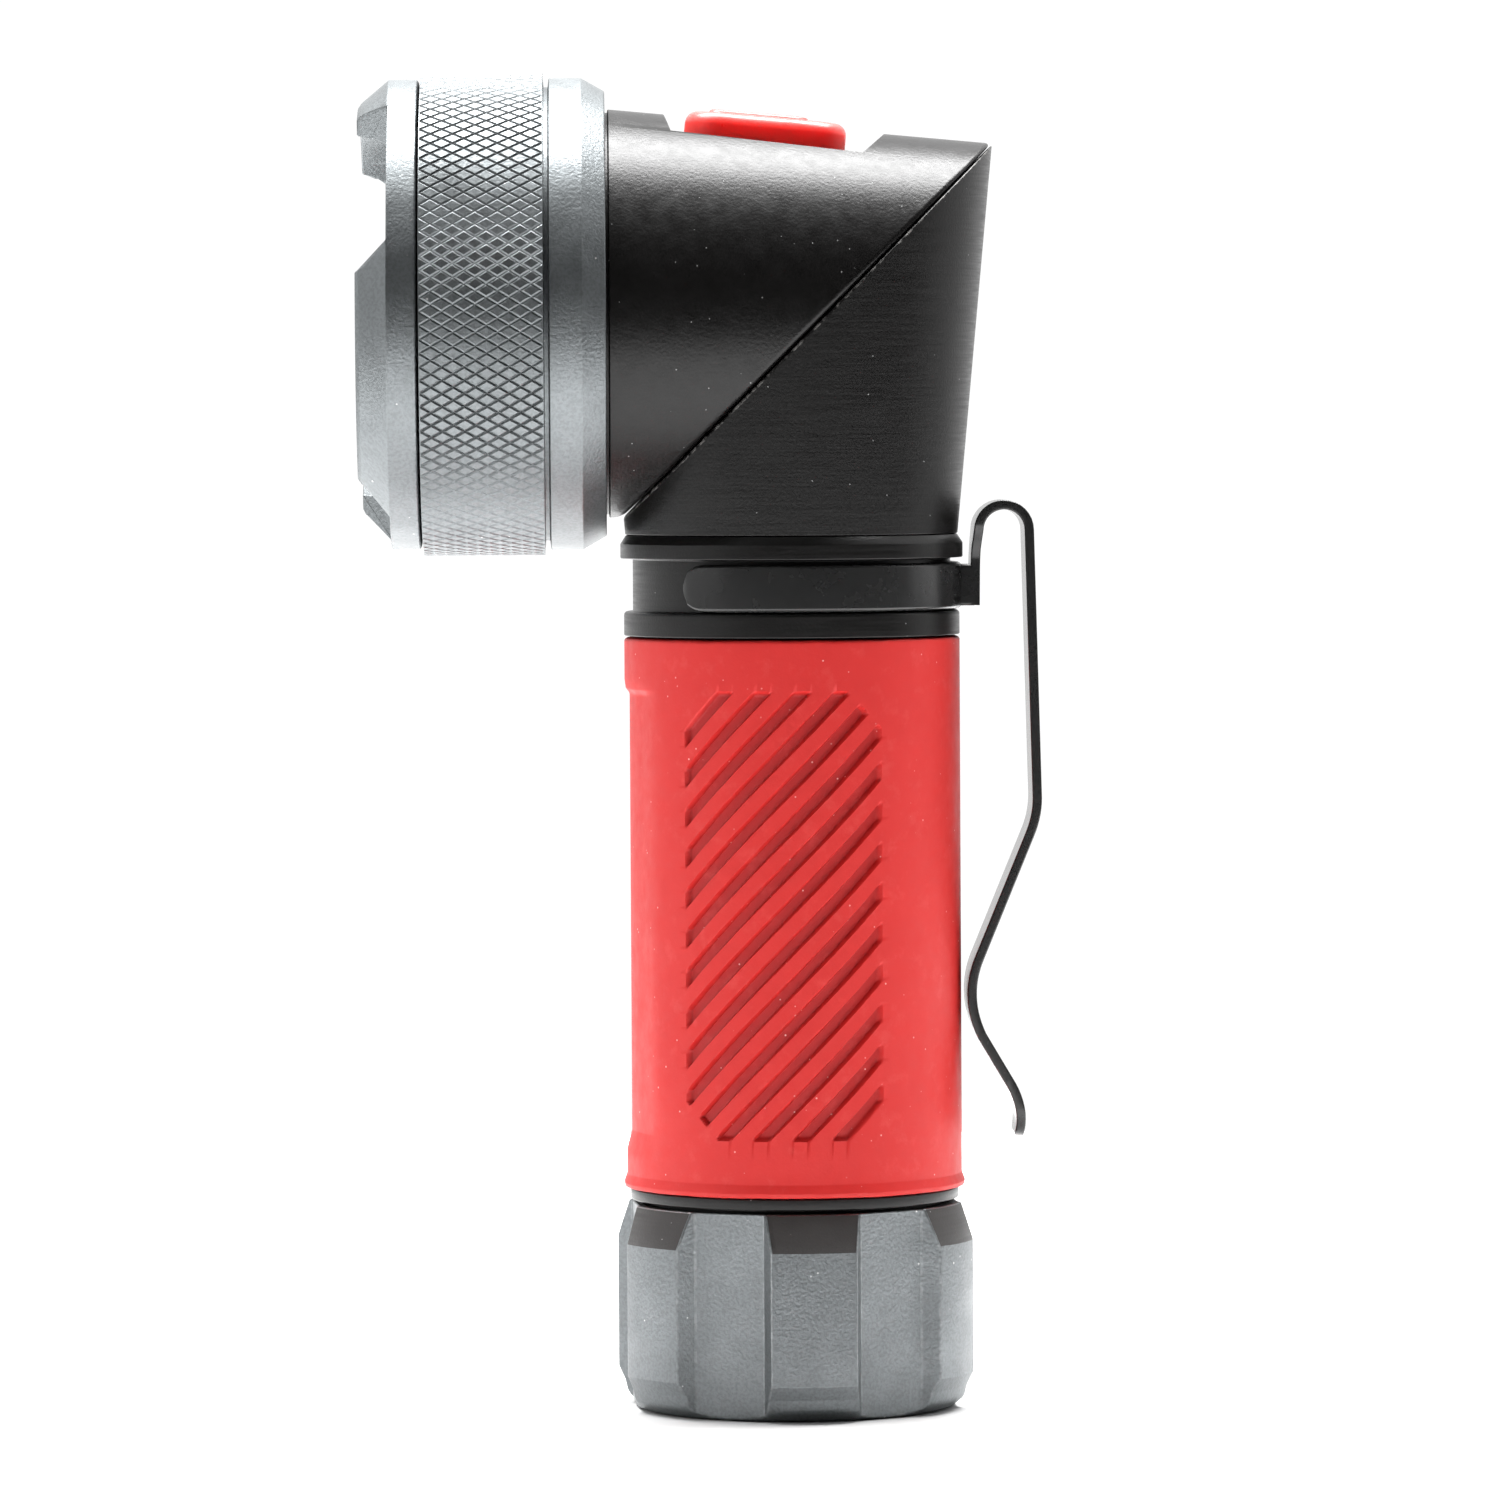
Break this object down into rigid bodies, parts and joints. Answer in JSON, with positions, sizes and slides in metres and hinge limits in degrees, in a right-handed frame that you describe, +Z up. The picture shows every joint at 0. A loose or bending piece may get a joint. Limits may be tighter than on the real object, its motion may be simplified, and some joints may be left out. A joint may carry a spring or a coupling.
{
  "type": "tactical flashlight",
  "caption": "Angle-head tactical flashlight: swivelling focus head with crenellated bezel, red grip, pocket clip and fluted tail cap.",
  "frame": {"origin": "centre of the tail cap's flat base, where the flashlight stands", "axes": "+Z up along the handle, the head points along -X at rest, the pocket clip is on +X, and +Y completes the right-handed frame"},
  "size_m": [0.0607, 0.043, 0.1192],
  "materials": {
    "grey_anodised": "grey anodised aluminium, finely bead-blasted",
    "black_anodised": "semi-matt black anodised aluminium",
    "black_steel": "black painted spring steel",
    "red_silicone": "matt moulded red silicone",
    "black_rubber": "matt black seal rubber",
    "lens_glass": "clear polished lens",
    "steel": "plain steel",
    "contact_brass": "plated contact metal",
    "circuit_board": "green solder mask",
    "white_board": "white-coated aluminium circuit board",
    "emitter": "yellow phosphor under clear silicone",
    "black_plastic": "moulded black plastic",
    "white_nylon": "natural nylon",
    "cell_wrap": "plain wrapped battery cell",
    "lead_red": "red wire insulation",
    "lead_black": "black wire insulation"
  },
  "bodies": {
    "tail_cap": {"tail_cap": "grey_anodised", "tail_spring": "steel"},
    "tail_contact": {"tail_contact_plate": "contact_brass"},
    "handle": {"battery_tube": "black_anodised", "tail_o_ring": "black_rubber", "grip_sleeve": "red_silicone", "elbow_housing": "black_anodised", "battery_carrier": "black_plastic", "carrier_rear_contact": "contact_brass", "carrier_front_contact": "contact_brass", "aaa_cell_1": "cell_wrap", "aaa_cell_2": "cell_wrap", "aaa_cell_3": "cell_wrap", "cell_spring_1": "steel", "cell_spring_2": "steel", "cell_spring_3": "steel", "contact_board": "circuit_board", "contact_spring": "steel", "handle_lead_positive": "lead_red", "handle_lead_negative": "lead_black", "swivel_washer": "white_nylon", "swivel_o_ring": "black_rubber", "swivel_stop_pin": "steel"},
    "clip": {"pocket_clip": "black_steel"},
    "head": {"head_housing": "black_anodised", "swivel_spindle": "steel", "spindle_circlip": "steel", "spring_washer": "steel", "switch_frame": "black_plastic", "switch_board": "circuit_board", "tact_switch": "steel", "driver_board": "circuit_board", "heat_sink": "grey_anodised", "led_board": "white_board", "led_emitter": "emitter", "barrel_o_ring": "black_rubber", "head_lead_positive": "lead_red", "head_lead_negative": "lead_black"},
    "button": {"switch_boot": "red_silicone"},
    "focus": {"focus_sleeve": "grey_anodised", "strike_bezel": "grey_anodised", "lens": "lens_glass", "lens_gasket": "black_rubber"}
  },
  "joints": [
    {"name": "tail_travel", "type": "slide", "parent": "tail_cap", "child": "tail_contact", "axis": [0, 0, 1], "range_m": [0, 0.006], "deforming": ["tail_spring"]},
    {"name": "tail_unscrew", "type": "hinge", "parent": "tail_contact", "child": "handle", "pos_m": [0, 0, 0.0115], "axis": [0, 0, 1], "range_deg": [0, 1440]},
    {"name": "clip_turn", "type": "hinge", "parent": "handle", "child": "clip", "pos_m": [0, 0, 0.0734], "axis": [0, 0, 1], "range_deg": [-100, 100]},
    {"name": "head_swivel", "type": "hinge", "parent": "handle", "child": "head", "pos_m": [0.00155, 0, 0.0962], "axis": [-0.7071, 0, 0.7071], "range_deg": [0, 180]},
    {"name": "button_press", "type": "slide", "parent": "head", "child": "button", "axis": [-0.0928, 0, -0.9957], "range_m": [0, 0.001], "stiffness_N_per_m": 1500},
    {"name": "focus_slide", "type": "slide", "parent": "head", "child": "focus", "axis": [-1, 0, 0], "range_m": [0, 0.005]}
  ],
  "couplings": [
    {"joint": "tail_travel", "follows": "tail_unscrew", "m_per_rad": 0.00023873}
  ]
}
